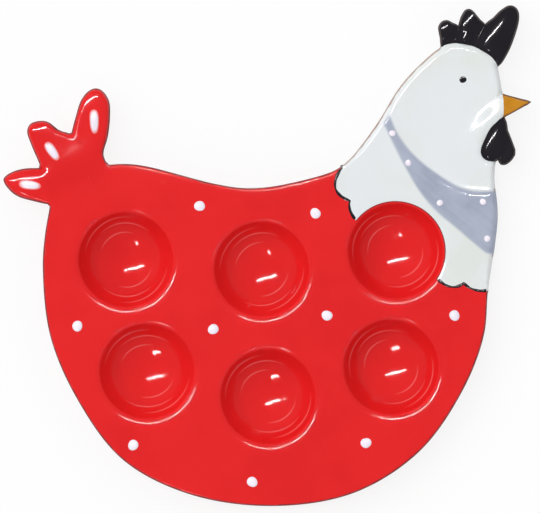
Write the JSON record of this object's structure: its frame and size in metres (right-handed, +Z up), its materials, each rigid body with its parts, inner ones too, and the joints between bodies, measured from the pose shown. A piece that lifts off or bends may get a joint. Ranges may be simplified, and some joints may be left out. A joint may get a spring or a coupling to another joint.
{
  "type": "egg dish",
  "caption": "Hen-shaped glazed earthenware egg dish: a flat slab with round cups that hold boiled eggs upright, puffed tail feathers and comb, and raised slip decoration.",
  "frame": {"origin": "on the table, under the middle of the dish's box", "axes": "+X the way the hen faces, +Y towards the comb, +Z up out of the cups"},
  "size_m": [0.251, 0.2378, 0.0187],
  "materials": {
    "red_glaze": "gloss red glaze on earthenware",
    "white_glaze": "gloss cool white glaze",
    "black_glaze": "gloss black glaze",
    "ochre_glaze": "gloss ochre glaze",
    "grey_glaze": "watery grey-blue underglaze wash",
    "white_slip": "raised white slip under clear glaze"
  },
  "bodies": {
    "root": {"body_plate": "red_glaze", "egg_cup_1": "red_glaze", "egg_cup_2": "red_glaze", "egg_cup_3": "red_glaze", "egg_cup_4": "red_glaze", "egg_cup_5": "red_glaze", "egg_cup_6": "red_glaze", "tail_feather_upper": "red_glaze", "tail_feather_middle": "red_glaze", "tail_feather_lower": "red_glaze", "neck_and_head": "white_glaze", "comb": "black_glaze", "wattle": "black_glaze", "eye": "black_glaze", "neck_line_upper": "black_glaze", "neck_line_lower": "black_glaze", "beak": "ochre_glaze", "neckerchief": "grey_glaze", "neckerchief_dot_1": "white_slip", "neckerchief_dot_2": "white_slip", "neckerchief_dot_3": "white_slip", "neckerchief_dot_4": "white_slip", "neckerchief_dot_5": "white_slip", "body_dot_1": "white_slip", "body_dot_2": "white_slip", "body_dot_3": "white_slip", "body_dot_4": "white_slip", "body_dot_5": "white_slip", "body_dot_6": "white_slip", "body_dot_7": "white_slip", "body_dot_8": "white_slip", "body_dot_9": "white_slip", "feather_stroke_upper": "white_slip", "feather_stroke_middle": "white_slip", "feather_stroke_lower": "white_slip"}
  },
  "joints": []
}
